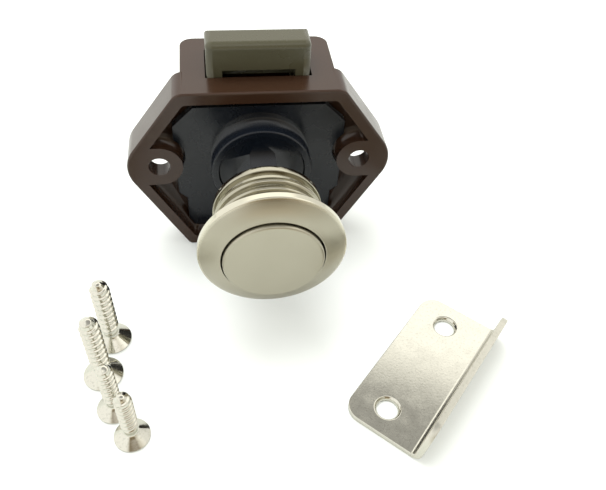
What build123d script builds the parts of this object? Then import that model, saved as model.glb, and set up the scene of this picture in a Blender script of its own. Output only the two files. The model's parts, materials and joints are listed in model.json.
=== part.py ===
from build123d import *
from math import asin, atan2, cos, degrees, hypot, radians, sin, tan
import os

os.makedirs("parts", exist_ok=True)

# Frame and sizes, in millimetres
# X runs to the right along the two screw holes, Y from the door into the cabinet, Z up.
# The origin is midway between the screw holes, on the knob's axis, in the plane that meets the door.

# Housing
screw_spacing = 39.4
screw_hole = 4.2
screw_boss = 9.0
countersink_dia = 7.6
screw_recess_dia = 11.0
screw_recess_depth = 2.0
flange_top = 16.3
flange_bottom = 22.1
flat_width = 30.8
tip_reach = 27.25
tip_round = 7.5
top_corner_round = 2.6
corner_round = 1.2
flange_depth = 7.4
flange_floor = 2.4
rim_wall = 2.3
rim_edge_round = 0.4
inner_round = 0.4
housing_depth = 19.2
box_width = 29.0
box_wall = 1.8
top_wall = 2.0
box_corner = 2.5

# Guide plate and its collar
plate_thickness = 1.8
plate_top = 11.2
plate_bottom = 19.4
plate_half_width = 16.8
plate_corner_cut = 4.2
plate_lower_half = 15.2
plate_lobe_bottom = 11.2
plate_lobe_cut = 1.4
boss_clearance = 0.35
plate_gap = 0.2
collar_dia = 19.5
collar_front = 2.8
collar_edge = 0.2

# Plunger, knob and ring
plunger_radius = 8.2
plunger_flat = 6.5
plunger_fit = 0.15
front_disc_depth = 2.3
front_disc_thick = 1.1
stem_across_flats = 8.4
stem_end = 18.6
stem_bevel = 0.4
knob_travel = 7.5
knob_overtravel = 0.6
button_dia = 17.6
button_front = 26.7
button_bevel = 0.8
button_length = 12.0
button_wall = 1.3
button_face = 2.0
button_boss = 6.4
button_boss_end = 18.9
stud_in_button = 4.6
stud_dia = 4.0
stud_fit = 0.05
stud_rear = 9.0
stud_hole_spare = 0.4
stud_bevel = 0.4
rosette_dia = 26.0
rosette_front = 24.15
rosette_lip = 1.55
rosette_crown = 1.7
rosette_fullness = 0.62
rosette_edge_round = 0.3
rosette_gap = 0.25
neck_dia = 20.0
neck_rear = 12.6
neck_land = 1.4
neck_groove = 0.55
rib_pitch = 1.95
rib_width = 1.3
rib_count = 3
rib_bevel = 0.2
neck_gap = 1.5

# Bolt and its two springs
bolt_width = 19.3
bolt_front = 5.4
bolt_rear_room = 2.8
bolt_protrusion = 6.6
bolt_top_flat = 5.15
bolt_slope = 50.0
bolt_travel = 6.4
bolt_crossbar = 3.0
window_rise = 1.25
window_depth = 3.0
window_round = 0.4
bolt_edge_round = 1.3
bolt_side_round = 1.4
shoulder_gap = 0.4
slide_gap = 0.25
stop_gap = 0.35
lug_dia = 2.0
lug_start = 2.8
lug_behind_front = 1.2
lug_into_ramp = 1.6
lug_root = 0.5
ramp_depth = 1.8
lug_gap = 0.1
bolt_leg_wall = 0.675
bolt_spring_gap = 0.275
bolt_spring_wire = 0.45
bolt_spring_turns = 7
bolt_spring_ceiling = 1.0
spring_peg_gap = 0.225
wire_sides = 6
spring_peg_length = 2.4

# Plunger spring
plunger_spring_dia = 6.2
plunger_spring_wire = 0.6
plunger_spring_bore = 7.0
plunger_spring_turns = 6
plunger_spring_end = 1.0
spring_nose_dia = 4.2
spring_nose_length = 2.6

# Heart cam and its wire
wire_dia = 0.9
wire_gap = 0.3
wire_pivot_room = 1.2
wire_reach = 8.7
wire_rest_side = 1.5
wire_out_side = 0.1
wire_channel = 7.0
wire_channel_depth = 1.4
channel_lead = 3.0
cam_depth = 1.3
cam_lane = 1.3
cam_notch = 0.9
wire_foot = 3.6
wire_socket_gap = 0.06
wire_bend = 0.63
cam_chamber_gap = 0.3

# Strike plate, lying on the same floor as the lock
strike_corner = (10.9, -43.5)
strike_turn = 47.1
strike_length = 32.7
strike_width = 14.7
strike_thick = 1.2
strike_lip = 7.4
strike_lean = 84.0
lip_corner_round = 3.9
strike_bend = 0.8
short_margin = 0.01
strike_corner_round = 3.2
strike_hole = 3.9
strike_hole_spacing = 22.5
strike_hole_edge = 6.5
strike_countersink = 4.8

# Screws, standing on their heads: places of their axes on the floor
long_screw_length = 16.8
long_screw_dia = 3.5
long_head_dia = 7.1
long_screw_places = [(-30.4, -23.9), (-31.5, -31.7)]
short_screw_length = 13.4
short_screw_dia = 3.0
short_head_dia = 6.2
short_screw_places = [(-29.0, -38.9), (-25.75, -44.45)]
head_rim = 0.35
shank_share = 0.8
shank_length = 2.4
recess_share = 0.56
recess_arm_share = 0.15
recess_depth_share = 0.28


def door_plane(depth):
    """A plane parallel to the door, depth mm into the cabinet, seen from the front."""
    return Plane(origin=(0, depth, 0), x_dir=(1, 0, 0), z_dir=(0, -1, 0))


def side_plane(x):
    """A plane across the knob's axis, with its own x along Y and its own y along Z."""
    return Plane(origin=(x, 0, 0), x_dir=(0, 1, 0), z_dir=(1, 0, 0))


def finish(part, label):
    """Label a finished piece and write it."""
    part.label = label
    export_step(part, f"parts/{label}.step")
    print(label, len(part.solids()), round(part.volume, 1))


# Places worked out from the sizes above
floor_z = -flange_bottom
inner_top = flange_top - top_wall
inner_bottom = -flange_bottom + box_wall
inner_rear = housing_depth - box_wall
cavity_floor = flange_depth - flange_floor
plate_front = cavity_floor - plate_thickness
bolt_rear = inner_rear - bolt_rear_room
bolt_depth = bolt_rear - bolt_front
bolt_window = 2 * (plunger_flat + slide_gap)
shoulder_width = box_width - 2 * (box_wall + shoulder_gap)
bolt_leg = (shoulder_width - bolt_window) / 2
spring_seat_x = (bolt_window + bolt_leg) / 2
bolt_spring_hole = bolt_leg - 2 * bolt_leg_wall
bolt_spring_dia = bolt_spring_hole - 2 * bolt_spring_gap
spring_peg_dia = bolt_spring_dia - 2 * (bolt_spring_wire + spring_peg_gap)
bolt_top = flange_top + bolt_protrusion
travel_ratio = bolt_travel / knob_travel
bolt_overtravel = knob_overtravel * travel_ratio
shoulder_top = inner_top - bolt_overtravel - stop_gap
crossbar_top = -plunger_radius - bolt_overtravel - stop_gap
bolt_bottom = crossbar_top - bolt_crossbar
window_top = plunger_radius + bolt_travel + stop_gap
flange_corners = [
    (flat_width / 2, flange_top),
    (tip_reach, 0),
    (flat_width / 2, -flange_bottom),
    (-flat_width / 2, -flange_bottom),
    (-tip_reach, 0),
    (-flat_width / 2, flange_top),
]
screw_places = [(-screw_spacing / 2, 0), (screw_spacing / 2, 0)]
side_seats = [-spring_seat_x, spring_seat_x]
bolt_middle = (bolt_front + bolt_rear) / 2
lug_y = bolt_front + lug_behind_front
wire_z = -plunger_radius + wire_channel_depth - wire_gap - wire_dia / 2
wire_length = hypot(wire_rest_side, wire_reach)
wire_pivot_behind = inner_rear - wire_pivot_room
wire_tip_y = wire_pivot_behind - wire_reach
plunger_rear = inner_rear - knob_overtravel - stop_gap
wire_rest_angle = asin(wire_rest_side / wire_length)
wire_out_angle = asin(wire_out_side / wire_length)
wire_swing = wire_rest_angle - wire_out_angle
wire_ratio = -wire_swing / (knob_travel / 1000)
print("cam_wire turns", round(degrees(wire_swing), 3), "degrees, ratio", round(wire_ratio, 4), "rad/m")
print("bolt moves", round(travel_ratio, 4), "of the knob, overtravel", round(bolt_overtravel, 3))

# Housing: flange with an open front, box behind it, slot for the bolt, screw bosses
with BuildPart() as housing:
    with BuildSketch(door_plane(0)) as flange_outline:
        with BuildLine():
            Polyline(flange_corners, close=True)
        make_face()
        tips = flange_outline.vertices().sort_by(Axis.X)
        fillet([tips[0], tips[-1]], tip_round)
        fillet(flange_outline.vertices().group_by(Axis.Y)[0], corner_round)
        fillet(flange_outline.vertices().group_by(Axis.Y)[-1], top_corner_round)
    extrude(amount=-flange_depth)
    fillet(housing.faces().sort_by(Axis.Y)[0].edges(), rim_edge_round)
    with BuildSketch(Plane.XY.offset(floor_z)) as box_outline:
        with Locations((0, (flange_depth + housing_depth) / 2)):
            Rectangle(box_width, housing_depth - flange_depth)
        fillet(box_outline.vertices().group_by(Axis.Y)[-1], box_corner)
    extrude(amount=flange_top + flange_bottom)
    with BuildSketch(door_plane(0)) as flange_cavity:
        with BuildLine():
            Polyline(flange_corners, close=True)
        make_face()
        offset(amount=-rim_wall, kind=Kind.INTERSECTION)
        fillet(flange_cavity.vertices().group_by(Axis.Y)[0], corner_round)
        fillet(flange_cavity.vertices().group_by(Axis.Y)[-1], corner_round)
        with Locations(screw_places):
            Circle(screw_boss / 2, mode=Mode.SUBTRACT)
        with GridLocations(screw_spacing + tip_reach, 1, 2, 1):
            Rectangle(tip_reach, screw_boss, mode=Mode.SUBTRACT)
    extrude(amount=-cavity_floor, mode=Mode.SUBTRACT)
    with BuildSketch(door_plane(cavity_floor)) as box_cavity:
        with Locations((0, (inner_top + inner_bottom) / 2)):
            RectangleRounded(box_width - 2 * box_wall, inner_top - inner_bottom, inner_round)
    extrude(amount=-(inner_rear - cavity_floor), mode=Mode.SUBTRACT)
    with BuildSketch(Plane.XY.offset(inner_top)) as bolt_slot:
        with Locations((0, bolt_middle)):
            Rectangle(bolt_width + 2 * slide_gap, bolt_depth + 2 * slide_gap)
    extrude(amount=top_wall, mode=Mode.SUBTRACT)
    with BuildSketch(door_plane(bolt_rear + slide_gap)) as guide_ribs:
        with Locations((0, (inner_top + inner_bottom) / 2)):
            with GridLocations(2 * spring_seat_x, 1, 2, 1):
                Rectangle(box_wall, inner_top - inner_bottom)
    extrude(amount=-(housing_depth - box_wall / 2 - bolt_rear - slide_gap))
    with BuildSketch(Plane.XY.offset(inner_bottom - box_wall / 2)) as spring_pegs:
        with Locations([(x, bolt_middle) for x in side_seats]):
            Circle(spring_peg_dia / 2)
    extrude(amount=box_wall / 2 + spring_peg_length)
    with BuildSketch(door_plane(inner_rear - spring_nose_length)) as spring_nose:
        Circle(spring_nose_dia / 2)
    extrude(amount=-(spring_nose_length + box_wall / 2))
    with BuildSketch(door_plane(bolt_rear + slide_gap)) as wire_block:
        with Locations((0, wire_z - wire_dia - wire_foot / 2)):
            Rectangle(wire_foot, wire_foot)
    extrude(amount=-(housing_depth - box_wall / 2 - bolt_rear - slide_gap))
    with BuildSketch(Plane.XY.offset(wire_z - wire_dia - wire_foot)) as wire_socket:
        with Locations((0, wire_pivot_behind)):
            Circle(wire_dia / 2 + wire_socket_gap)
    extrude(amount=wire_foot + wire_dia, mode=Mode.SUBTRACT)
    with BuildSketch(door_plane(flange_depth)) as screw_recesses:
        with Locations(screw_places):
            Circle(screw_recess_dia / 2)
    extrude(amount=screw_recess_depth, mode=Mode.SUBTRACT)
    head_seat = flange_depth - screw_recess_depth
    with Locations(Plane(origin=(0, head_seat, 0), x_dir=(1, 0, 0), z_dir=(0, 1, 0))):
        with Locations(screw_places):
            CounterSinkHole(screw_hole / 2, countersink_dia / 2, depth=head_seat)

# Guide plate: a flat plate round the two bosses, with the collar that carries the plunger
with BuildSketch() as plate_limit:
    with BuildLine():
        Polyline(flange_corners, close=True)
    make_face()
    offset(amount=-rim_wall - plate_gap, kind=Kind.INTERSECTION)
with BuildPart() as guide_plate:
    with BuildSketch(door_plane(plate_front)) as plate_outline:
        with Locations((0, (plate_top - plate_lobe_bottom) / 2)):
            Rectangle(2 * plate_half_width, plate_top + plate_lobe_bottom)
        chamfer(plate_outline.vertices().group_by(Axis.Y)[-1], plate_corner_cut)
        chamfer(plate_outline.vertices().group_by(Axis.Y)[0], plate_lobe_cut)
        with Locations((0, -(plate_bottom + plate_lobe_bottom) / 2)):
            Rectangle(2 * plate_lower_half, plate_bottom - plate_lobe_bottom)
        with Locations(screw_places):
            Circle(screw_boss / 2 + boss_clearance, mode=Mode.SUBTRACT)
        add(plate_limit.sketch, mode=Mode.INTERSECT)
    extrude(amount=-plate_thickness)
    with BuildSketch(door_plane(-collar_front)) as collar:
        Circle(collar_dia / 2)
    extrude(amount=-(collar_front + plate_front))
    chamfer(guide_plate.faces().sort_by(Axis.Y)[0].edges(), collar_edge)
    with BuildSketch(door_plane(cavity_floor)) as plunger_bore:
        Circle(plunger_radius + plunger_fit)
        Rectangle(2 * (plunger_flat + plunger_fit), 3 * plunger_radius, mode=Mode.INTERSECT)
    extrude(amount=cavity_floor + collar_front, mode=Mode.SUBTRACT)
    with BuildSketch(door_plane(-collar_front)) as disc_recess:
        Circle(plunger_radius + plunger_fit)
    extrude(
        amount=-(collar_front - front_disc_depth + front_disc_thick + knob_overtravel + stop_gap),
        mode=Mode.SUBTRACT,
    )

# Bolt: a frame round the plunger, with a sloped head, spring holes in its legs and two cam lugs
with BuildPart() as bolt:
    with BuildSketch(door_plane(bolt_front)) as bolt_outline:
        with Locations((0, (bolt_top + bolt_bottom) / 2)):
            Rectangle(bolt_width, bolt_top - bolt_bottom)
        with Locations((0, (shoulder_top + bolt_bottom) / 2)):
            Rectangle(shoulder_width, shoulder_top - bolt_bottom)
        fillet(bolt_outline.vertices().group_by(Axis.Y)[0], corner_round)
    extrude(amount=-bolt_depth)
    with BuildSketch(side_plane(0)) as rear_slope:
        with BuildLine():
            slope_run = bolt_depth - bolt_top_flat
            slope_foot = bolt_top - slope_run * tan(radians(bolt_slope))
            Polyline(
                (bolt_front + bolt_top_flat, bolt_top),
                (bolt_rear, slope_foot),
                (bolt_rear, bolt_top),
                close=True,
            )
        make_face()
    extrude(amount=bolt_width, both=True, mode=Mode.SUBTRACT)
    fillet(bolt.edges().filter_by(Axis.Z).group_by(Axis.Z)[-1], bolt_side_round)
    fillet(bolt.faces().sort_by(Axis.Z)[-1].edges(), bolt_edge_round)
    with BuildSketch(door_plane(bolt_front)) as through_window:
        with Locations((0, (window_top + crossbar_top) / 2)):
            RectangleRounded(bolt_window, window_top - crossbar_top, window_round)
    extrude(amount=-bolt_depth, mode=Mode.SUBTRACT)
    with BuildSketch(door_plane(bolt_front)) as front_pocket:
        with Locations((0, (flange_top + window_rise) / 2)):
            Rectangle(bolt_window, flange_top + window_rise)
    extrude(amount=-window_depth, mode=Mode.SUBTRACT)
    with BuildSketch(Plane.XY.offset(bolt_bottom)) as spring_holes:
        with Locations([(x, bolt_middle) for x in side_seats]):
            Circle(bolt_spring_hole / 2)
    extrude(amount=-bolt_bottom - bolt_spring_ceiling, mode=Mode.SUBTRACT)
    for side in (-1, 1):
        with BuildSketch(side_plane(side * (plunger_flat - lug_into_ramp))) as lug:
            with Locations((lug_y, lug_start)):
                Circle(lug_dia / 2)
        extrude(amount=side * (lug_into_ramp + bolt_window / 2 - plunger_flat + lug_root))

# Plunger: round front disc, six-sided stem, flat-sided body with two ramps and the heart cam
with BuildPart() as plunger:
    with BuildSketch(door_plane(-front_disc_depth)) as front_disc:
        Circle(plunger_radius)
    extrude(amount=-front_disc_thick)
    with BuildSketch(door_plane(plunger_rear)) as body_section:
        Circle(plunger_radius)
        Rectangle(2 * plunger_flat, 3 * plunger_radius, mode=Mode.INTERSECT)
    extrude(amount=plunger_rear + front_disc_depth - front_disc_thick)
    with BuildSketch(door_plane(-front_disc_depth)) as stem_section:
        RegularPolygon(stem_across_flats / 2, 6, major_radius=False)
    extrude(amount=stem_end - front_disc_depth)
    chamfer(plunger.faces().sort_by(Axis.Y)[0].edges(), stem_bevel)
    with BuildSketch(door_plane(plunger_rear)) as spring_bore:
        Circle(plunger_spring_bore / 2)
    extrude(amount=plunger_rear - plunger_spring_end, mode=Mode.SUBTRACT)
    with BuildSketch(door_plane(-stem_end)) as stud_hole:
        Circle(stud_dia / 2 + stud_fit)
    extrude(amount=-(stem_end - stud_rear + stud_hole_spare), mode=Mode.SUBTRACT)
    ramp_angle = atan2(bolt_travel, knob_travel)
    ramp_gap = lug_dia / 2 + lug_gap
    ramp_lift = ramp_gap / cos(ramp_angle)
    ramp_start = lug_y - ramp_gap - knob_overtravel
    ramp_end = lug_y + knob_travel + ramp_gap
    for side in (-1, 1):
        with BuildSketch(side_plane(side * (plunger_flat - ramp_depth))) as ramp:
            with BuildLine():
                Polyline(
                    (ramp_start, lug_start + ramp_lift + (lug_y - ramp_start) * travel_ratio),
                    (ramp_end, lug_start + ramp_lift - (ramp_end - lug_y) * travel_ratio),
                    (ramp_end, -plunger_radius),
                    (ramp_start, -plunger_radius),
                    close=True,
                )
            make_face()
        extrude(amount=side * 2 * ramp_depth, mode=Mode.SUBTRACT)
    with BuildSketch(Plane.XY.offset(-plunger_radius)) as channel:
        with Locations((0, plunger_rear)):
            Rectangle(wire_channel, 2 * (plunger_rear - wire_tip_y + channel_lead))
    extrude(amount=wire_channel_depth, mode=Mode.SUBTRACT)
    with BuildSketch(Plane.XY.offset(-plunger_radius + wire_channel_depth)) as heart_cam:
        lane_run = wire_rest_side - wire_out_side
        lane_length = hypot(lane_run, knob_travel)
        for side in (-1, 1):
            lane_middle = side * (wire_rest_side + wire_out_side) / 2
            with Locations((lane_middle, wire_tip_y + knob_travel / 2)):
                lane_turn = side * degrees(atan2(knob_travel, -lane_run))
                SlotCenterToCenter(lane_length, cam_lane, rotation=lane_turn)
        chamber_depth = knob_overtravel + cam_lane / 2
        with Locations((0, wire_tip_y + cam_notch / 2 - chamber_depth / 2)):
            Rectangle(2 * wire_rest_side + cam_lane + cam_chamber_gap, chamber_depth + cam_notch)
        with Locations((0, wire_tip_y + cam_notch)):
            Circle(cam_notch / 2)
    extrude(amount=cam_depth, mode=Mode.SUBTRACT)

# Heart-cam wire: foot in its socket, arm under the plunger, tip up in the cam's lane
with BuildPart() as cam_wire:
    with BuildLine() as wire_path:
        FilletPolyline(
            (0, wire_pivot_behind, wire_z - wire_foot),
            (0, wire_pivot_behind, wire_z),
            (wire_rest_side, wire_tip_y, wire_z),
            (wire_rest_side, wire_tip_y, -plunger_radius + wire_channel_depth + cam_depth - wire_gap),
            radius=wire_bend,
        )
    with BuildSketch(Plane(origin=wire_path.line @ 0, z_dir=wire_path.line % 0)) as wire_section:
        Circle(wire_dia / 2)
    sweep()

# Knob button: a bevelled cap with a threaded boss inside
with BuildPart() as knob_button:
    with BuildSketch(door_plane(-button_front)) as button_outline:
        Circle(button_dia / 2)
    extrude(amount=-button_length)
    chamfer(knob_button.faces().sort_by(Axis.Y)[0].edges(), button_bevel)
    with BuildSketch(door_plane(-button_front + button_face)) as button_hollow:
        Circle(button_dia / 2 - button_wall)
        Circle(button_boss / 2, mode=Mode.SUBTRACT)
    extrude(amount=-(button_length - button_face), mode=Mode.SUBTRACT)
    with BuildSketch(door_plane(-button_boss_end)) as boss_end:
        Circle(button_boss / 2)
    extrude(amount=-(button_length + button_boss_end - button_front), mode=Mode.SUBTRACT)
    with BuildSketch(door_plane(-button_boss_end)) as boss_thread:
        Circle(stud_dia / 2 + stud_fit)
    extrude(amount=stud_in_button + stud_fit, mode=Mode.SUBTRACT)

# Knob stud: threaded rod between the button and the plunger's stem
with BuildPart() as knob_stud:
    with BuildSketch(door_plane(-stud_rear)) as stud_outline:
        Circle(stud_dia / 2)
    extrude(amount=button_boss_end + stud_in_button - stud_rear)
    chamfer(knob_stud.edges(), stud_bevel)

# Ring: a crowned lip and a ribbed neck, turned round the knob's axis
with BuildPart() as rosette:
    with BuildSketch() as ring_section:
        ring_bore = button_dia / 2 + rosette_gap
        crown_y = -rosette_front - rosette_crown
        lip_rear = -rosette_front + rosette_lip
        neck_root = neck_dia / 2 - neck_groove
        with BuildLine():
            crown = ThreePointArc(
                (ring_bore, crown_y),
                ((ring_bore + rosette_dia / 2) / 2, -rosette_front - rosette_fullness * rosette_crown),
                (rosette_dia / 2, -rosette_front),
            )
            Polyline(
                crown @ 1,
                (rosette_dia / 2, lip_rear),
                (neck_root, lip_rear),
                (neck_root, -neck_rear),
                (ring_bore, -neck_rear),
                crown @ 0,
            )
        make_face()
        neck_bands = [(neck_rear, neck_land)]
        for rib in range(rib_count):
            neck_bands.append((neck_rear + neck_land + neck_gap + rib * rib_pitch, rib_width))
        for start, width in neck_bands:
            with Locations((neck_root, -start - width / 2)):
                Rectangle(2 * neck_groove, width)
        rib_tips = ring_section.vertices().filter_by(
            lambda corner: abs(corner.X - neck_dia / 2) < rib_bevel / 2
        )
        chamfer(rib_tips, rib_bevel)
    revolve(axis=Axis.Y)
    fillet(rosette.edges().filter_by(GeomType.CIRCLE).sort_by(SortBy.RADIUS)[-2:], rosette_edge_round)


def coil_spring(turns, length, outer_dia, wire, start, direction):
    """A coil of fine wire, drawn six-sided, from start, ending length mm further along direction."""
    with BuildPart() as spring:
        with BuildLine() as coil_path:
            coil = Helix(
                pitch=(length - wire) / turns,
                height=length - wire,
                radius=(outer_dia - wire) / 2,
                center=start + direction * (wire / 2),
                direction=direction,
            )
        with BuildSketch(Plane(origin=coil @ 0, z_dir=coil % 0)) as coil_section:
            RegularPolygon(wire / 2, wire_sides)
        sweep()
    return spring.part


# The three springs, from their seats in the housing
bolt_springs = [
    coil_spring(
        bolt_spring_turns,
        -inner_bottom - bolt_spring_ceiling,
        bolt_spring_dia,
        bolt_spring_wire,
        Vector(seat, bolt_middle, inner_bottom),
        Vector(0, 0, 1),
    )
    for seat in side_seats
]
plunger_spring = coil_spring(
    plunger_spring_turns,
    inner_rear - plunger_spring_end,
    plunger_spring_dia,
    plunger_spring_wire,
    Vector(0, inner_rear, 0),
    Vector(0, -1, 0),
)

# Strike plate: an angle bent out of plane sheet, with two countersunk holes
along = Vector(cos(radians(strike_turn)), sin(radians(strike_turn)), 0)
across = Vector(sin(radians(strike_turn)), -cos(radians(strike_turn)), 0)
strike_foot = Vector(strike_corner[0], strike_corner[1], floor_z)
lean = radians(strike_lean)
with BuildPart() as strike_plate:
    with BuildSketch(Plane(origin=strike_foot, x_dir=across, z_dir=along * -1)) as angle_section:
        lip_inner = (
            strike_width + strike_lip * cos(lean),
            strike_thick + strike_lip * sin(lean),
        )
        lip_outer = (
            lip_inner[0] + strike_thick * sin(lean),
            lip_inner[1] - strike_thick * cos(lean),
        )
        with BuildLine():
            Polyline(
                (0, 0),
                (lip_outer[0] - lip_outer[1] / tan(lean), 0),
                lip_outer,
                lip_inner,
                (strike_width, strike_thick),
                (0, strike_thick),
                close=True,
            )
        make_face()
        bend = angle_section.vertices().sort_by_distance((strike_width, strike_thick))
        fillet(bend[0], strike_bend)
        outer_bend = angle_section.vertices().group_by(Axis.Y)[0].sort_by(Axis.X)[-1]
        fillet(outer_bend, strike_bend + strike_thick)
    extrude(amount=-strike_length)
    fillet(strike_plate.edges().filter_by(Axis.Z), strike_corner_round)
    short_edges = strike_plate.edges().filter_by(lambda edge: edge.length <= strike_thick + short_margin)
    fillet(short_edges.sort_by(Axis.Z)[-2:], lip_corner_round)
    top_plane = Plane(origin=strike_foot + Vector(0, 0, strike_thick), x_dir=along, z_dir=(0, 0, 1))
    with Locations(top_plane):
        with Locations((strike_length / 2, -strike_hole_edge)):
            with GridLocations(strike_hole_spacing, 1, 2, 1):
                CounterSinkHole(strike_hole / 2, strike_countersink / 2, depth=strike_thick)


def wood_screws(places, length, diameter, head_dia):
    """Countersunk cross-head screws standing on their heads at the given places on the floor."""
    shank = diameter * shank_share / 2
    cone_top = head_rim + head_dia / 2 - shank
    thread_start = cone_top + shank_length
    with BuildPart() as screws:
        for x, y in places:
            with BuildSketch(Plane(origin=(x, y, floor_z), x_dir=(1, 0, 0), z_dir=(0, -1, 0))):
                with BuildLine():
                    Polyline(
                        (0, 0),
                        (head_dia / 2, 0),
                        (head_dia / 2, head_rim),
                        (shank, cone_top),
                        (shank, thread_start),
                        (diameter / 2, thread_start + diameter / 2 - shank),
                        (diameter / 2, length - diameter),
                        (0, length),
                        close=True,
                    )
                make_face()
            revolve(axis=Axis((x, y, 0), (0, 0, 1)))
        with BuildSketch(Plane.XY.offset(floor_z)) as cross_recess:
            with Locations(places):
                Rectangle(head_dia * recess_share, head_dia * recess_arm_share)
                Rectangle(head_dia * recess_arm_share, head_dia * recess_share)
        extrude(amount=head_dia * recess_depth_share, mode=Mode.SUBTRACT)
    return screws.part


long_screws = wood_screws(long_screw_places, long_screw_length, long_screw_dia, long_head_dia)
short_screws = wood_screws(short_screw_places, short_screw_length, short_screw_dia, short_head_dia)

# Write every piece
finish(housing.part, "housing")
finish(guide_plate.part, "guide_plate")
finish(bolt.part, "bolt")
finish(plunger.part, "plunger")
finish(cam_wire.part, "cam_wire")
finish(knob_button.part, "knob_button")
finish(knob_stud.part, "knob_stud")
finish(rosette.part, "rosette")
finish(bolt_springs[0], "bolt_spring_left")
finish(bolt_springs[1], "bolt_spring_right")
finish(plunger_spring, "plunger_spring")
finish(strike_plate.part, "strike_plate")
finish(long_screws, "long_screws")
finish(short_screws, "short_screws")
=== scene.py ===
# %% [markdown]
# # A push button cabinet lock
#
# The lock stands on a pale floor with its knob towards us. A brown moulded housing holds a black guide
# plate, and a khaki bolt looks out of its top. A satin nickel ring is in front, where the door would be,
# with the push button in it. An angle strike plate lies beside the lock, and four wood screws stand there
# on their heads.
#
# The working shapes come in with the frame, and nothing in this file moves or changes them. Each gets its
# finish here. Three kinds of piece are made anew in the places of the frame's own: the turned ring and
# button, and the screws with their threads. The moulded and pressed pieces are copied, and the copies get
# the small rounded edges that a mould or a press leaves. The springs, the stud and the wire are inside.
# They keep the frame's shapes.

# %% Load the frame
import json
import math

import bmesh
import bpy
import numpy as np
from mathutils import Matrix, Vector

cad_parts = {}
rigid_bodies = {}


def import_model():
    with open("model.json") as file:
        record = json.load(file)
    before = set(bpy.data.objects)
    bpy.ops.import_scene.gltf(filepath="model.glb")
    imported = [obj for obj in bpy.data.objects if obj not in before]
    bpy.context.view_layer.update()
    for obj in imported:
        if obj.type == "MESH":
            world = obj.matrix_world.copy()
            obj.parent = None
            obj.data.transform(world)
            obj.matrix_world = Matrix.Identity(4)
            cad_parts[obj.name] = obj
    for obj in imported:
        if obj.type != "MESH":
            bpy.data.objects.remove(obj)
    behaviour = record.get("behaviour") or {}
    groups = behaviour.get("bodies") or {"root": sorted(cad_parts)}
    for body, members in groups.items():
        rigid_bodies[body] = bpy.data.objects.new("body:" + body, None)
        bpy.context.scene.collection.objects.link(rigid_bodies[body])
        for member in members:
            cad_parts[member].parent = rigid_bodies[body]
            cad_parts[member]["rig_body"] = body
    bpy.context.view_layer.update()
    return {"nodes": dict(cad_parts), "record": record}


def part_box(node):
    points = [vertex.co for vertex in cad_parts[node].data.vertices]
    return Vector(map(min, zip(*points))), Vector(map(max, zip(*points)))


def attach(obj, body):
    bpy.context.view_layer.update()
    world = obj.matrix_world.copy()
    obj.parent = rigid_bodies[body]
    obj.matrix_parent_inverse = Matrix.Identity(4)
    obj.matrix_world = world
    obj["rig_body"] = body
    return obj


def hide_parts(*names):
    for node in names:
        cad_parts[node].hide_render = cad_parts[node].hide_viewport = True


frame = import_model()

MM = 0.001
scene = bpy.context.scene
nodes = frame["nodes"]
body_of = {name: node["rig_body"] for name, node in nodes.items()}
slots = {entry["node"]: entry["material_slot"] for entry in frame["record"]["subparts"]}
for name in sorted(nodes):
    low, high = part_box(name)
    size = [round((b - a) / MM, 1) for a, b in zip(low, high)]
    print("frame piece", name, "on", body_of[name], size, "mm")

# %% [markdown]
# ## Shader helpers
#
# Colours are written as hex values, the way a screen shows them, but the shader wants linear light, so one
# function turns the one to the other. A material is a net of nodes. It could be joined up by hand in the
# editor. Here one small function adds a node, sets it up and links its inputs, so each material reads as
# a short list of steps. Patterns are laid out on the piece's own place in millimetres: their scales are
# then one over a real size, and they stay on the piece wherever it moves.


# %% Colours and shader nodes
def colour(hex_value):
    """sRGB hex to linear RGBA: c / 12.92 in the toe, ((c + 0.055) / 1.055) ** 2.4 above it."""
    channels = [int(hex_value[place : place + 2], 16) / 255 for place in (1, 3, 5)]
    linear = [c / 12.92 if c <= 0.04045 else ((c + 0.055) / 1.055) ** 2.4 for c in channels]
    return (*linear, 1.0)


def add_node(tree, kind, settings=None, **inputs):
    """Add one node, set its properties, then fill or link its inputs by name, or by number as _0."""
    node = tree.nodes.new(kind)
    for key, value in (settings or {}).items():
        setattr(node, key, value)
    for key, value in inputs.items():
        socket = node.inputs[int(key[1:])] if key[0] == "_" else node.inputs[key.replace("_", " ")]
        if isinstance(value, bpy.types.NodeSocket):
            tree.links.new(value, socket)
        else:
            socket.default_value = value
    return node


def new_material(name):
    """An empty material, its node tree, and the piece's own place in millimetres."""
    material = bpy.data.materials.new(name)
    material.use_nodes = True
    tree = material.node_tree
    tree.nodes.clear()
    place = add_node(tree, "ShaderNodeTexCoord").outputs["Object"]
    in_mm = add_node(tree, "ShaderNodeVectorMath", {"operation": "SCALE"}, Vector=place, Scale=1 / MM)
    return material, tree, in_mm.outputs[0]


def finish_material(tree, shader):
    """Link the shader to the material's output."""
    add_node(tree, "ShaderNodeOutputMaterial", Surface=shader.outputs[0])


def dress(piece, material):
    """Put one material on a piece."""
    piece.data.materials.clear()
    piece.data.materials.append(material)


# %% [markdown]
# ## Surfaces from arrays
#
# A turned piece is a profile carried round an axis, and a screw is a circle whose radius changes along the
# way. Both are grids of points, so numpy works out all the points at once, and one function takes such
# a grid to a mesh. Spinning a profile with a modifier would do for the ring, but not for a thread. Where
# a row of the grid shrinks to one point, as in the middle of the button's face, its corners fall together
# and are merged, so that no pole stays open.


# %% Grids to meshes
def grid_faces(rows, columns, wrap_rows, first):
    """Four corner numbers for each cell of a grid that closes along its columns, and its rows if asked."""
    row = np.arange(rows if wrap_rows else rows - 1)[:, None]
    column = np.arange(columns)[None, :]
    next_row, next_column = (row + 1) % rows, (column + 1) % columns
    corners = [row * columns + column, row * columns + next_column,
               next_row * columns + next_column, next_row * columns + column]
    return np.stack([first + c for c in corners], axis=-1).reshape(-1, 4)


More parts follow.
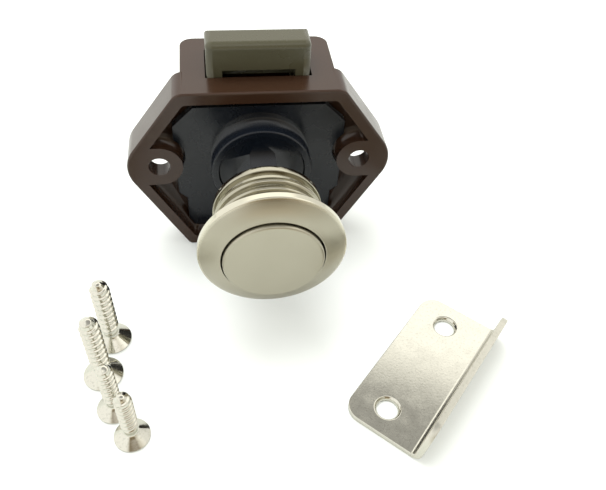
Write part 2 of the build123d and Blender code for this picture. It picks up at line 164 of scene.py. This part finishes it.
def grid_piece(name, grids, wrap_rows=False, smooth_limit=40):
    """One mesh object from grids of points in mm, its doubles merged and its faces turned outwards."""
    points, faces, first = [], [], 0
    for grid in grids:
        rows, columns = grid.shape[:2]
        points.append(grid.reshape(-1, 3) * MM)
        faces.append(grid_faces(rows, columns, wrap_rows, first))
        first += rows * columns
    mesh = bpy.data.meshes.new(name)
    mesh.from_pydata(np.concatenate(points).tolist(), [], np.concatenate(faces).tolist())
    tidy = bmesh.new()
    tidy.from_mesh(mesh)
    bmesh.ops.remove_doubles(tidy, verts=tidy.verts, dist=1e-7)
    bmesh.ops.recalc_face_normals(tidy, faces=tidy.faces)
    for edge in tidy.edges:
        edge.smooth = edge.calc_face_angle(0.0) < math.radians(smooth_limit)
    for face in tidy.faces:
        face.smooth = True
    tidy.to_mesh(mesh)
    tidy.free()
    piece = bpy.data.objects.new(name, mesh)
    scene.collection.objects.link(piece)
    print("made", name, len(mesh.polygons), "faces")
    return piece


def stand_for(piece, node, material):
    """The piece takes a frame node's place, body, slot and finish."""
    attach(piece, body_of[node])
    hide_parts(node)
    dress(piece, material)


# %% [markdown]
# ## Camera
#
# The camera stands a hand's breadth in front of the lock, a little to its left, and looks steeply down at
# it. It could be placed by eye, but then every size read through it would be off. So its place, its aim
# and its lens were worked out together, from the flange's corners, the ring's outline and the line where
# the housing meets the floor. The lens is first found in pixels of the picture's width, and one line
# below turns that to millimetres on the sensor.

# %% Camera
camera_place = Vector((-8.81, -99.34, 83.69)) * MM
camera_aim = Vector((9.65, -0.14, -24.58)) * MM
camera_roll = 4.38
focal_pixels = 652.1
image_width = 606
sensor_width = 36.0
nearest_seen = 1 * MM

camera_data = bpy.data.cameras.new("camera")
camera_data.sensor_width = sensor_width
camera_data.lens = focal_pixels / image_width * sensor_width
camera_data.clip_start = nearest_seen
camera = bpy.data.objects.new("camera", camera_data)
scene.collection.objects.link(camera)
look = (camera_aim - camera_place).normalized()
turned_level = look.to_track_quat("-Z", "Y").to_matrix().to_4x4()
roll = Matrix.Rotation(math.radians(camera_roll), 4, "Z")
camera.matrix_world = Matrix.Translation(camera_place) @ turned_level @ roll
scene.camera = camera
scene.view_settings.view_transform = "Standard"
print("camera", round(camera_data.lens, 2), "mm lens")

# %% [markdown]
# ## Floor
#
# The lock stands on a white sheet. Its white could come from more light, but that would bleach the pieces
# as well. So the sheet is a pale matt surface with a little added glow that only the camera sees. It comes
# out white, its soft shadows stay, and no extra light falls on the pieces. Mirrored in the metal, the sheet
# is without its glow.

# %% Floor
floor_z = min(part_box("housing")[0][2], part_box("strike_plate")[0][2])
floor_size = 1.6
floor_middle = (0, 0.1, floor_z)
sheet_glow = 0.19

bpy.ops.mesh.primitive_plane_add(size=floor_size, location=floor_middle)
floor = bpy.context.object
floor.name = "floor"
white_sheet, tree, _ = new_material("white_sheet")
plain = add_node(tree, "ShaderNodeBsdfDiffuse", Color=colour("#dfe2df"))
glow = add_node(tree, "ShaderNodeEmission", Color=(0.92, 0.98, 1.0, 1), Strength=sheet_glow)
both = add_node(tree, "ShaderNodeAddShader", _0=plain.outputs[0], _1=glow.outputs[0])
path = add_node(tree, "ShaderNodeLightPath")
seen = add_node(
    tree, "ShaderNodeMixShader", _0=path.outputs["Is Camera Ray"], _1=plain.outputs[0], _2=both.outputs[0]
)
finish_material(tree, seen)
dress(floor, white_sheet)
print("floor at", round(floor_z / MM, 2), "mm, glow", sheet_glow)

# %% [markdown]
# ## Light
#
# Metal shows little colour of its own: it shows the room. Behind the lock this room is bright like a
# window, brightest from 35 to 53 degrees up, and dim above that. In front it is pale low down, dark from
# 20 to 35 degrees up in the middle, and bright overhead. Lamps could stand for all this, but a lamp has
# hard borders that bright metal would show, and the world's colour can change softly with direction.
# The parts of a direction run from -1 to 1, and Z is the sine of the height above the horizon. Z goes
# through two ramps, one for the window's half and one for the middle of the front. Then X picks the
# middle or the sides of the front, Y fades from front to back, and X brightens the left.

# %% Light that changes with direction
window_level = 1.45
window_tint = (1.0, 0.985, 0.93)
front_middle_x = 0.08
middle_edge = (0.3, 0.5)
back_edge = (-0.7, -0.1)
left_edge = (-0.2, -0.6)
left_tone = (0.95, 0.945, 0.91, 1)


def window_light(level):
    """A level of the window's light, tinted by its slight warmth."""
    return (*(level * part for part in window_tint), 1)


def set_stops(ramp, stops):
    """Give a colour ramp its stops, each a place from 0 to 1 and a linear colour."""
    elements = ramp.color_ramp.elements
    first, *middle, last = stops
    elements[0].position, elements[0].color = first
    elements[1].position, elements[1].color = last
    for place, tone in middle:
        elements.new(place).color = tone


world = bpy.data.worlds.new("studio")
scene.world = world
world.use_nodes = True
sky = world.node_tree
sky.nodes.clear()
direction = add_node(sky, "ShaderNodeTexCoord").outputs["Generated"]
parts = add_node(sky, "ShaderNodeSeparateXYZ", Vector=direction)
soft_step = {"interpolation_type": "SMOOTHSTEP"}

window = add_node(sky, "ShaderNodeValToRGB", Fac=parts.outputs["Z"])
window.color_ramp.interpolation = "EASE"
set_stops(window, [
    (0.0, (0.7, 0.69, 0.66, 1)),
    (0.48, window_light(0.8)),
    (0.58, window_light(1.2)),
    (0.8, window_light(1.2)),
    (0.86, window_light(0.34)),
    (1.0, (0.36, 0.36, 0.35, 1)),
])
front_middle = add_node(sky, "ShaderNodeValToRGB", Fac=parts.outputs["Z"])
set_stops(front_middle, [
    (0.1, colour("#e2d5bf")),
    (0.35, colour("#7d705a")),
    (0.58, colour("#7d705a")),
    (0.74, (1.1, 1.08, 1.04, 1)),
])
print("window level", window_level)

# %% Front, back and left side of the room
from_middle = add_node(
    sky, "ShaderNodeMath", {"operation": "SUBTRACT"}, _0=parts.outputs["X"], _1=front_middle_x
)
sideways = add_node(sky, "ShaderNodeMath", {"operation": "ABSOLUTE"}, _0=from_middle.outputs[0])
front_side = add_node(
    sky, "ShaderNodeMapRange", soft_step, Value=sideways.outputs[0],
    From_Min=middle_edge[0], From_Max=middle_edge[1], To_Min=0.0, To_Max=1.0,
)
front = add_node(
    sky, "ShaderNodeMixRGB",
    Fac=front_side.outputs[0], Color1=front_middle.outputs[0], Color2=colour("#cac4b6"),
)
to_back = add_node(
    sky, "ShaderNodeMapRange", soft_step, Value=parts.outputs["Y"],
    From_Min=back_edge[0], From_Max=back_edge[1], To_Min=0.0, To_Max=1.0,
)
front_and_back = add_node(
    sky, "ShaderNodeMixRGB", Fac=to_back.outputs[0], Color1=front.outputs[0], Color2=window.outputs[0]
)
to_left = add_node(
    sky, "ShaderNodeMapRange", soft_step, Value=parts.outputs["X"],
    From_Min=left_edge[0], From_Max=left_edge[1], To_Min=0.0, To_Max=1.0,
)
whole_room = add_node(
    sky, "ShaderNodeMixRGB",
    Fac=to_left.outputs[0], Color1=front_and_back.outputs[0], Color2=left_tone,
)
background = add_node(sky, "ShaderNodeBackground", Color=whole_room.outputs[0], Strength=window_level)
add_node(sky, "ShaderNodeOutputWorld", Surface=background.outputs[0])
print("room of", len(sky.nodes), "nodes")

# %% [markdown]
# ## Lamp
#
# One broad lamp overhead lights the matt tops and the floor. A small lamp could do that too, but its
# shadows would be hard. Metal doesn't mirror it, because its square would show there.


# %% Overhead lamp
def soft_light(name, place, aim, size, power):
    """A square area lamp at place, looking at aim, that lights matt surfaces but isn't mirrored."""
    lamp = bpy.data.lights.new(name, "AREA")
    lamp.size = size
    lamp.energy = power
    rig = bpy.data.objects.new(name, lamp)
    scene.collection.objects.link(rig)
    rig.location = place
    rig.rotation_euler = (Vector(aim) - Vector(place)).to_track_quat("-Z", "Y").to_euler()
    rig.visible_glossy = False
    print("lamp", name, power, "W,", size, "m wide")


soft_light("overhead_light", place=(-0.08, 0.13, 0.5), aim=(0, 0, 0), size=0.35, power=2.4)

# %% [markdown]
# ## Moulded plastics
#
# The housing is glossy moulded ABS, the guide plate and the plunger are black nylon, and the bolt is
# acetal, a slippery plastic with a softer gloss. All three take the skin of their steel mould, so one
# recipe serves them: a plain colour with a gloss that is never quite even. Slow ripples, where the plastic
# shrank over its ribs, bend the window's light a little. A fine grain breaks up the colour. The grain of a
# real mould is too fine for this view, so it is drawn a quarter of a millimetre wide.


# %% Moulded plastics
grain_mm = 0.25
plastic_ior = 1.46
wave_depth = 0.3 * MM
skin_depth = 0.03 * MM


def moulded_plastic(name, hex_value, gloss, ripple_mm, shade):
    """Moulded skin: ripples of ripple_mm drive its height and gloss, and grain its shade."""
    material, tree, in_mm = new_material(name)
    ripple = add_node(tree, "ShaderNodeTexNoise", Vector=in_mm, Scale=1 / ripple_mm, Detail=3.0)
    grain = add_node(tree, "ShaderNodeTexNoise", Vector=in_mm, Scale=1 / grain_mm, Detail=2.0)
    rough = add_node(
        tree, "ShaderNodeMapRange", Value=ripple.outputs[0], From_Min=0.3, From_Max=0.7,
        To_Min=gloss * 0.8, To_Max=gloss * 1.25,
    )
    tint = add_node(
        tree, "ShaderNodeMixRGB", {"blend_type": "MULTIPLY"}, Fac=grain.outputs[0],
        Color1=colour(hex_value), Color2=(shade, shade, shade, 1),
    )
    waves = add_node(tree, "ShaderNodeBump", Strength=0.04, Distance=wave_depth, Height=ripple.outputs[0])
    skin = add_node(
        tree, "ShaderNodeBump", Strength=0.015, Distance=skin_depth, Height=grain.outputs[0],
        Normal=waves.outputs[0],
    )
    shader = add_node(
        tree, "ShaderNodeBsdfPrincipled", Base_Color=tint.outputs[0], Roughness=rough.outputs[0],
        IOR=plastic_ior, Normal=skin.outputs[0],
    )
    finish_material(tree, shader)
    return material


# Moulded ABS: a warm brown, glossy enough to carry the window as pale sheets of light.
brown_abs = moulded_plastic("moulded_brown_abs", "#37251a", gloss=0.2, ripple_mm=6.0, shade=0.85)
# Moulded nylon: a blue-black with a duller shine, so its collar shows only as faint arcs.
black_nylon = moulded_plastic("moulded_black_nylon", "#131820", gloss=0.26, ripple_mm=5.0, shade=0.8)
# Moulded acetal: a waxy khaki, even in colour, a little lighter on its top, with a soft shine.
khaki_acetal = moulded_plastic("moulded_khaki_acetal", "#4a4837", gloss=0.28, ripple_mm=4.0, shade=0.92)
print("plastics", brown_abs.name, black_nylon.name, khaki_acetal.name)


# %% [markdown]
# ## Satin nickel
#
# Ring and button are zinc castings, turned, brushed to a satin and nickel plated. Brushing on the lathe
# leaves fine rings round the axis. A picture of brushed metal could be wrapped on, but noise read by the
# distance from the axis gives the same rings and never stretches. Real ones are too fine for this view, so
# they are drawn a fifth of a millimetre wide. The brush doesn't get behind the ring's lip, so from there
# back the plate is crisper. A lighter colour is painted in a band on the lip's edge, a painted highlight
# that shows as a pale line round the ring.


# %% Satin nickel
ring_low, ring_high = (np.array(corner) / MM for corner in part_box("rosette"))
button_low, button_high = (np.array(corner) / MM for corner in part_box("knob_button"))
ring_face = ring_low[1]
brush_rings_mm = 0.2
cloud_mm = 4.0
neck_starts, neck_settled = 1.4, 2.0
# Depths behind the ring's face where the painted highlight band on the lip starts and ends.
highlight_starts, highlight_ends = 1.5, 3.2
border_width = 0.3


def turned_nickel(name, hex_value, gloss, neck_gloss, lip_highlight_hex=None):
    """Satin plate: rings by the distance from the knob's axis, crisper behind the lip's front edge, and a
    painted highlight band on the lip's edge when its colour is given.
    """
    material, tree, in_mm = new_material(name)
    parts = add_node(tree, "ShaderNodeSeparateXYZ", Vector=in_mm)
    flat = add_node(tree, "ShaderNodeCombineXYZ", X=parts.outputs["X"], Z=parts.outputs["Z"])
    radius = add_node(tree, "ShaderNodeVectorMath", {"operation": "LENGTH"}, _0=flat.outputs[0])
    along = add_node(tree, "ShaderNodeCombineXYZ", X=radius.outputs["Value"], Y=parts.outputs["Y"])
    rings = add_node(
        tree, "ShaderNodeTexNoise", Vector=along.outputs[0], Scale=1 / brush_rings_mm, Detail=3.0
    )
    cloud = add_node(tree, "ShaderNodeTexNoise", Vector=in_mm, Scale=1 / cloud_mm, Detail=2.0)
    uneven = add_node(
        tree, "ShaderNodeMapRange", Value=cloud.outputs[0], From_Min=0.3, From_Max=0.7,
        To_Min=0.88, To_Max=1.12,
    )
    behind = add_node(
        tree, "ShaderNodeMapRange", Value=parts.outputs["Y"],
        From_Min=ring_face + neck_starts, From_Max=ring_face + neck_settled,
        To_Min=gloss, To_Max=neck_gloss,
    )
    rough = add_node(
        tree, "ShaderNodeMath", {"operation": "MULTIPLY"}, _0=uneven.outputs[0], _1=behind.outputs[0]
    )
    grooves = add_node(tree, "ShaderNodeBump", Strength=0.12, Distance=skin_depth, Height=rings.outputs[0])
    plate = colour(hex_value)
    # Painted highlight: a lighter colour mixed in over a band of depths on the ring's lip edge.
    if lip_highlight_hex:
        borders = [
            add_node(
                tree, "ShaderNodeMapRange", Value=parts.outputs["Y"], From_Min=ring_face + border,
                From_Max=ring_face + border + border_width, To_Min=0.0, To_Max=1.0,
            ).outputs[0]
            for border in (highlight_starts, highlight_ends)
        ]
        highlight_band = add_node(tree, "ShaderNodeMath", {"operation": "SUBTRACT"}, _0=borders[0], _1=borders[1])
        plate = add_node(
            tree, "ShaderNodeMixRGB", Fac=highlight_band.outputs[0], Color1=plate, Color2=colour(lip_highlight_hex)
        ).outputs[0]
    shader = add_node(
        tree, "ShaderNodeBsdfPrincipled", Base_Color=plate, Metallic=1.0,
        Roughness=rough.outputs[0], Normal=grooves.outputs[0],
    )
    finish_material(tree, shader)
    return material


# Satin nickel on zinc: a warm grey that spreads the room into soft fans of light and dark.
# The lighter lip colour is a painted highlight along the lip's edge.
satin_nickel = turned_nickel(
    "satin_nickel_on_zinc", "#aca898", gloss=0.34, neck_gloss=0.12, lip_highlight_hex="#cfcbba"
)
# The button's plate is the same without the painted highlight band, and its side is only a little glossier.
button_nickel = turned_nickel("satin_nickel_button", "#aca898", gloss=0.34, neck_gloss=0.3)
print("satin nickel", satin_nickel.name, button_nickel.name)


# %% [markdown]
# ## Bright nickel and spring steel
#
# The strike plate is pressed from rolled steel, and the screws are rolled too. Both are nickel plated in a
# tumbling barrel, which leaves them bright but not quite even: faint smears, fine pits and small dull
# stains. One flat roughness would look like chrome. So noise a few millimetres wide drives the gloss,
# and finer noise the pits and stains. Real pits are too fine for this view, so they are drawn 0.4 mm wide.
# The whole lip past the strike plate's fold is duller, as from rubbing on the press tool. The drawn wire
# has the same kind of skin, darker and duller, and its stains hardly show.


# %% Bright nickel on steel
strike_corner = (10.9, -43.5)
strike_turn = math.radians(47.1)
strike_width = 14.7
across_strike = (round(math.sin(strike_turn), 4), -round(math.cos(strike_turn), 4), 0.0)
fold_place = round(float(np.dot(strike_corner, across_strike[:2])) + strike_width, 1)
fold_border = 0.8
fold_dullness = 0.3
pit_mm = 5 / 12
stain_mm = 5 / 11
stain_hex = "#8d8a7c"


def plated_steel(name, hex_value, gloss, smear_mm, pit_strength):
    """Barrel plate: gloss by smears of smear_mm, duller past the fold, with pits and small stains."""
    material, tree, in_mm = new_material(name)
    smear = add_node(
        tree, "ShaderNodeTexNoise", Vector=in_mm, Scale=1 / smear_mm, Detail=5.0, Roughness=0.6
    )
    pits = add_node(tree, "ShaderNodeTexNoise", Vector=in_mm, Scale=1 / pit_mm, Detail=4.0)
    uneven = add_node(
        tree, "ShaderNodeMapRange", Value=smear.outputs[0], From_Min=0.35, From_Max=0.7,
        To_Min=gloss * 0.6, To_Max=gloss * 1.8,
    )
    across = add_node(
        tree, "ShaderNodeVectorMath", {"operation": "DOT_PRODUCT"}, _0=in_mm, _1=across_strike
    )
    folded = add_node(
        tree, "ShaderNodeMapRange", Value=across.outputs["Value"],
        From_Min=fold_place - fold_border, From_Max=fold_place, To_Min=0.0, To_Max=fold_dullness,
    )
    rough = add_node(tree, "ShaderNodeMath", _0=uneven.outputs[0], _1=folded.outputs[0])
    stains = add_node(
        tree, "ShaderNodeTexNoise", Vector=in_mm, Scale=1 / stain_mm, Detail=3.0, Roughness=0.6
    )
    stained = add_node(
        tree, "ShaderNodeMapRange", Value=stains.outputs[0], From_Min=0.53, From_Max=0.66,
        To_Min=0.0, To_Max=0.2,
    )
    plate = add_node(
        tree, "ShaderNodeMixRGB",
        Fac=stained.outputs[0], Color1=colour(hex_value), Color2=colour(stain_hex),
    )
    rolled = add_node(tree, "ShaderNodeBump", Strength=0.05, Distance=skin_depth, Height=smear.outputs[0])
    skin = add_node(
        tree, "ShaderNodeBump", Strength=pit_strength, Distance=skin_depth, Height=pits.outputs[0],
        Normal=rolled.outputs[0],
    )
    shader = add_node(
        tree, "ShaderNodeBsdfPrincipled", Base_Color=plate.outputs[0], Metallic=1.0,
        Roughness=rough.outputs[0], Normal=skin.outputs[0],
    )
    finish_material(tree, shader)
    return material


# Bright nickel on rolled steel: a clear, slightly warm mirror that breaks up into smears and specks.
bright_nickel = plated_steel(
    "bright_nickel_on_steel", "#d1cfc4", gloss=0.1, smear_mm=3.0, pit_strength=0.14
)
# Drawn spring steel: a neutral grey with a duller shine.
spring_steel = plated_steel("drawn_spring_steel", "#9a9a98", gloss=0.25, smear_mm=2.0, pit_strength=0.1)
print("plated steel", bright_nickel.name, "fold at", round(fold_place, 2), "mm")

# %% [markdown]
# ## Dressing
#
# Each piece of the frame names the slot of its material. The pieces could be dressed one by one, but a
# table of slots keeps each finish in one place, and the rounded copies below read the same table.

# %% Dress the frame's pieces
finishes = {
    "brown_plastic": brown_abs,
    "black_plastic": black_nylon,
    "khaki_plastic": khaki_acetal,
    "satin_nickel": satin_nickel,
    "bright_nickel": bright_nickel,
    "spring_steel": spring_steel,
}
for node, slot in slots.items():
    dress(nodes[node], finishes[slot])
print("finishes", sorted(finishes))

# %% [markdown]
# ## Moulded and pressed pieces
#
# A mould's edges are never quite sharp, nor are those of pressed sheet, and thin lines of light along them
# show it. The frame's solids have exact edges. These pieces could be built again, but their forms are
# right already. So each is copied, its loose triangles are joined, and flat runs of them become one
# face again. A bevel then rounds the outer edges only, since those are the ones that catch the light.
# Normals weighted by area keep the large faces flat between their round edges.


# %% Round the edges of the moulded pieces
sharp_angle = math.radians(35)
flat_angle = math.radians(1.0)
edge_steps = 2
flat_weight = 80


def edge_rounded(node, name, width_mm):
    """A joined copy of a frame node with its outer edges rounded to width_mm, standing for the node."""
    mesh = nodes[node].data.copy()
    mesh.name = name
    joined = bmesh.new()
    joined.from_mesh(mesh)
    bmesh.ops.remove_doubles(joined, verts=joined.verts, dist=1e-6)
    bmesh.ops.dissolve_limit(joined, angle_limit=flat_angle, verts=joined.verts, edges=joined.edges)
    bmesh.ops.dissolve_degenerate(joined, dist=1e-6, edges=joined.edges)
    share = joined.edges.layers.float.new("bevel_weight_edge")
    for edge in joined.edges:
        edge[share] = float(edge.calc_face_angle_signed(0.0) > sharp_angle)
    for face in joined.faces:
        face.smooth = True
    joined.to_mesh(mesh)
    joined.free()
    piece = bpy.data.objects.new(name, mesh)
    scene.collection.objects.link(piece)
    bevel = piece.modifiers.new("mould_edges", "BEVEL")
    bevel.width = width_mm * MM
    bevel.segments = edge_steps
    bevel.limit_method = "WEIGHT"
    bevel.use_clamp_overlap = True
    flatten = piece.modifiers.new("flat_faces", "WEIGHTED_NORMAL")
    flatten.weight = flat_weight
    stand_for(piece, node, finishes[slots[node]])
    print("rounded", name, len(mesh.polygons), "faces, edges", width_mm, "mm")


edge_rounded("housing", "housing_moulding", 0.25)
edge_rounded("guide_plate", "guide_moulding", 0.2)
edge_rounded("bolt", "bolt_moulding", 0.18)
edge_rounded("plunger", "plunger_moulding", 0.15)
edge_rounded("strike_plate", "strike_pressing", 0.14)


# %% [markdown]
# ## Turned profiles
#
# Ring and button are turned parts, so each is a profile carried round the knob's axis. The profile is a
# line of points, each a radius and a depth. Stock shapes joined together could give the same form, but a
# profile holds every small radius and groove in one line, as the lathe's tool does. Two helpers make its
# parts: evenly spaced points on straight runs, and an arc that takes a corner off.


# %% Turned profiles
def turned(profile, steps=240):
    """Carry (radius, depth) points round the knob's axis: x = r sin a, y = depth, z = r cos a."""
    angle = np.linspace(0, 2 * np.pi, steps, endpoint=False)[None, :]
    radius, depth = profile[:, 0, None], profile[:, 1, None]
    around = [radius * np.sin(angle), depth + 0 * angle, radius * np.cos(angle)]
    return np.stack(around, axis=-1)


def path_through(corners, spacing=0.08):
    """Points every spacing mm along the straight runs between corners, corners kept."""
    corners = np.array(corners, dtype=float)
    runs = []
    for start, end in zip(corners[:-1], corners[1:]):
        count = max(1, int(np.ceil(np.linalg.norm(end - start) / spacing)))
        share = np.arange(count)[:, None] / count
        runs.append(start + (end - start) * share)
    runs.append(corners[-1:])
    return np.concatenate(runs)


def rounded_corner(corner, before, after, radius, steps=5):
    """Arc tangent to both runs: it starts and ends radius / tan(half the corner's angle) from it."""
    corner, before, after = (np.array(p, dtype=float) for p in (corner, before, after))
    into = (before - corner) / np.linalg.norm(before - corner)
    out = (after - corner) / np.linalg.norm(after - corner)
    half = np.arccos(np.clip(np.dot(into, out), -1, 1)) / 2
    setback = radius / np.tan(half)
    middle = corner + (into + out) / np.linalg.norm(into + out) * radius / np.sin(half)
    first, last = corner + into * setback - middle, corner + out * setback - middle
    share = np.linspace(0, 1, steps)[:, None]
    spread = np.arccos(np.clip(np.dot(first, last) / radius**2, -1, 1))
    blend = (np.sin((1 - share) * spread) * first + np.sin(share * spread) * last) / np.sin(spread)
    return middle + blend


# %% [markdown]
# ## Ring
#
# The ring's face falls away from the bore to the lip in a full curve. Behind the lip comes the neck, which
# grips the door's hole with ribs. Each rib is cut double, a narrow ridge, a hair-thin groove and
# a broader ridge, so the ribs catch the light as paired lines. Shaped noise could hint at them, but only
# real grooves cast the dark lines between. A plain land ends the neck at the rear.

# %% Ring sizes
ring_radius = ring_high[0]
ring_rear = ring_high[1]
button_radius = button_high[0]
bore = button_radius + 0.25
crown = 1.7
bulge = 0.12 * crown
lip_edge = ring_face + crown
lip_rear = lip_edge + 1.55
lip_round, lip_rear_round = 0.28, 0.2
face_steps = 40
face_start, face_margin, face_inset = 0.12, 0.3, 0.03
neck = 10.0
neck_root = neck - 0.55
neck_foot = neck_root + 0.02
land = 1.4
land_front_round, land_rear_round = 0.15, 0.25
rib_gap = 1.5
rib_start = ring_rear - land - rib_gap
rib_pitch = 1.95
rib_width = 1.3
rib_count = 3
print("ring", round(2 * ring_radius, 2), "mm across, depth", round(ring_face, 2), "to", round(ring_rear, 2))


# %% Ring
def rib(front, steps=27):
    """A rib's height: the larger of 0.9 exp(-((s - 0.14) / 0.1)^2) and sin(pi (s - 0.28) / 0.72)^0.6."""
    across_rib = np.linspace(0, 1, steps)
    narrow = np.exp(-(((across_rib - 0.14) / 0.1) ** 2))
    broad = np.clip(np.sin(np.pi * np.clip((across_rib - 0.28) / 0.72, 0, 1)), 0, 1) ** 0.6
    rise = np.maximum(0.9 * narrow, broad)
    rise[0] = rise[-1] = 0
    return np.stack([neck_root + (neck - neck_root) * rise, front - rib_width * across_rib], axis=1)


bore_edge = [(bore, ring_face + 0.15), (bore + 0.04, ring_face + 0.06)]
across = np.linspace(0, 1, face_steps)
crown_line = np.stack(
    [bore + face_start + (ring_radius - bore - face_margin) * across,
     ring_face + face_inset + crown * across - 4 * bulge * across * (1 - across)], axis=1
)
edge_front = rounded_corner((ring_radius, lip_edge), crown_line[-1], (ring_radius, lip_rear), lip_round)
edge_rear = rounded_corner(
    (ring_radius, lip_rear), (ring_radius, lip_edge), (neck_root, lip_rear), lip_rear_round
)
ribs = [rib(rib_start - number * rib_pitch)[::-1] for number in reversed(range(rib_count))]
land_front = rounded_corner(
    (neck, ring_rear - land), (neck_root, ring_rear - land), (neck, ring_rear), land_front_round
)
land_rear = rounded_corner(
    (neck, ring_rear), (neck, ring_rear - land), (bore, ring_rear), land_rear_round
)
ring_profile = np.concatenate([
    crown_line,
    edge_front,
    path_through([edge_front[-1], edge_rear[0]]),
    edge_rear,
    path_through([edge_rear[-1], (neck_foot, lip_rear)], 0.3),
    *ribs,
    np.array([(neck_root, ring_rear - land)]),
    land_front,
    land_rear,
    np.array([(bore, ring_rear), *bore_edge]),
])
ring = grid_piece("turned_ring", [turned(ring_profile)], wrap_rows=True)
stand_for(ring, "rosette", satin_nickel)

# %% [markdown]
# ## Button
#
# The button is a hollow cup with a threaded boss inside. Its face is very slightly domed, which gives
# what it mirrors a soft change of tone, and its edge is well rounded. It could be cut from a cylinder with
# a bevel, but the dome and the edge have to run into each other, and a profile does that.

# %% Button
button_face = button_low[1]
button_rear = button_high[1]
edge_round = 0.5
edge_round_steps = 9
dome = 0.1
dome_steps = 24
wall = 1.3
face_thick = 2.0
boss = 3.2
boss_end = -18.9
thread_hole = 2.05
thread_end = boss_end - 4.65

share = np.linspace(0, 1, dome_steps)[:, None]
face_line = np.hstack([share * button_radius, button_face + dome * share**2])
button_edge = rounded_corner(
    face_line[-1], face_line[-3], (button_radius, button_rear), edge_round, edge_round_steps
)
button_profile = np.concatenate([
    face_line[face_line[:, 0] < button_edge[0, 0]],
    button_edge,
    np.array([
        (button_radius, button_rear), (button_radius - wall, button_rear),
        (button_radius - wall, button_face + face_thick), (boss, button_face + face_thick),
        (boss, boss_end), (thread_hole, boss_end), (thread_hole, thread_end), (0, thread_end),
    ]),
])
button = grid_piece("turned_button", [turned(button_profile)])
stand_for(button, "knob_button", button_nickel)
print("button", round(2 * button_radius, 2), "mm across, dome", dome, "mm")

# %% [markdown]
# ## Screws
#
# The four screws are countersunk wood screws, standing on their heads. Each has a cross recess, a cone
# under the head, a thinner smooth shank and a thread that ends in a blunt, domed tip. The thread could be
# a ridge swept along a helix and joined to a core. It is simpler to let the radius change. A thread's
# ridge moves on by one pitch per turn, so the radius at height z and angle a is the core's radius plus
# the ridge's height at the place (z - pitch a / 2 pi) within its pitch.

# %% Screw sizes
screw_steps = 72
head_edge = 0.1
head_rim = 0.35
cone_slope = 0.84
shank_share = 0.38
core_share = 0.38
plain_length = 0.6
thread_row = 0.05
ridge_width = 0.17
tip_share, tip_power = 0.7, 2.6
ease_pitches = 1.2
recess_wide, recess_long, recess_deep = 0.1, 0.3, 0.28
angle = np.linspace(0, 2 * np.pi, screw_steps, endpoint=False)[None, :]


def circles(radius, height):
    """A grid of points at (radius, height) round the upright axis, for each angle."""
    return np.stack(
        [radius * np.cos(angle), radius * np.sin(angle), height + 0 * angle], axis=-1
    )


def recessed_face(head_dia):
    """The head's face, sunk along a cross: depth grows with (1 - near / width) (1 - far / length)."""
    face_radius = np.linspace(0, head_dia / 2 - 0.12, 16)[:, None]
    x, y = face_radius * np.cos(angle), face_radius * np.sin(angle)
    near, far = np.minimum(np.abs(x), np.abs(y)), np.maximum(np.abs(x), np.abs(y))
    arm = np.clip(1 - near / (recess_wide * head_dia), 0, 1)
    arm = arm * np.clip(1 - far / (recess_long * head_dia), 0, 1)
    return np.stack([x, y, recess_deep * head_dia * np.clip(3 * arm, 0, 1)], axis=-1)


def head_side(head_dia, shank, core, cone_top, thread_low):
    """Rim, cone and shank: straight runs of (radius, height) up to where the thread starts."""
    slope = np.linspace(0.03, 0.88, 6)
    radius = np.concatenate([
        [head_dia / 2, head_dia / 2], head_dia / 2 + (shank - head_dia / 2) * slope,
        [shank + 0.06, shank, core],
    ])[:, None]
    height = np.concatenate([
        [head_edge, head_rim], head_rim + (cone_top - head_rim) * slope,
        [cone_top - 0.02, cone_top + 0.15, thread_low],
    ])[:, None]
    return circles(radius, height)


def thread_and_tip(length, diameter, core, thread_low, pitch, start):
    """Core plus ridge exp(-((phase - 1/2) / width)^2), all shrunk to the tip by (1 - t^p)^(1/2)."""
    rows = int((length - thread_low) / thread_row)
    height = np.linspace(thread_low, length, rows)[:, None]
    into_tip = np.clip(1 - (length - height) / (tip_share * diameter), 0, 1)
    taper = (1 - into_tip**tip_power) ** 0.5
    phase = (height / pitch - angle / (2 * np.pi) + start) % 1.0
    ridge = np.exp(-(((phase - 0.5) / ridge_width) ** 2))
    ease = np.clip((height - thread_low) / (ease_pitches * pitch), 0, 1)
    radius = taper * (core + (diameter / 2 - core) * ridge * ease) + 0 * angle
    return circles(radius, height)


def screw_surface(foot, length, diameter, head_dia, pitch, start):
    """Grid of a screw standing on its head: rows run from the recess up to the tip."""
    shank, core = shank_share * diameter, core_share * diameter
    cone_top = head_rim + cone_slope * (head_dia / 2 - shank)
    thread_low = cone_top + plain_length
    grid = np.concatenate([
        recessed_face(head_dia),
        head_side(head_dia, shank, core, cone_top, thread_low),
        thread_and_tip(length, diameter, core, thread_low, pitch, start)[1:],
    ])
    return grid + np.array([*foot, floor_z / MM])


# %% Screws
long_places = [(-30.4, -23.9), (-31.5, -31.7)]
short_places = [(-29.0, -38.9), (-25.75, -44.45)]
screw_smooth_limit = 38
long_grids = [
    screw_surface(place, length=16.8, diameter=3.5, head_dia=7.1, pitch=1.37, start=0.3 * number)
    for number, place in enumerate(long_places)
]
short_grids = [
    screw_surface(place, length=13.4, diameter=3.0, head_dia=6.2, pitch=1.25, start=0.4 * number)
    for number, place in enumerate(short_places)
]
long_screws = grid_piece("long_wood_screws", long_grids, smooth_limit=screw_smooth_limit)
stand_for(long_screws, "long_screws", bright_nickel)
short_screws = grid_piece("short_wood_screws", short_grids, smooth_limit=screw_smooth_limit)
stand_for(short_screws, "short_screws", bright_nickel)
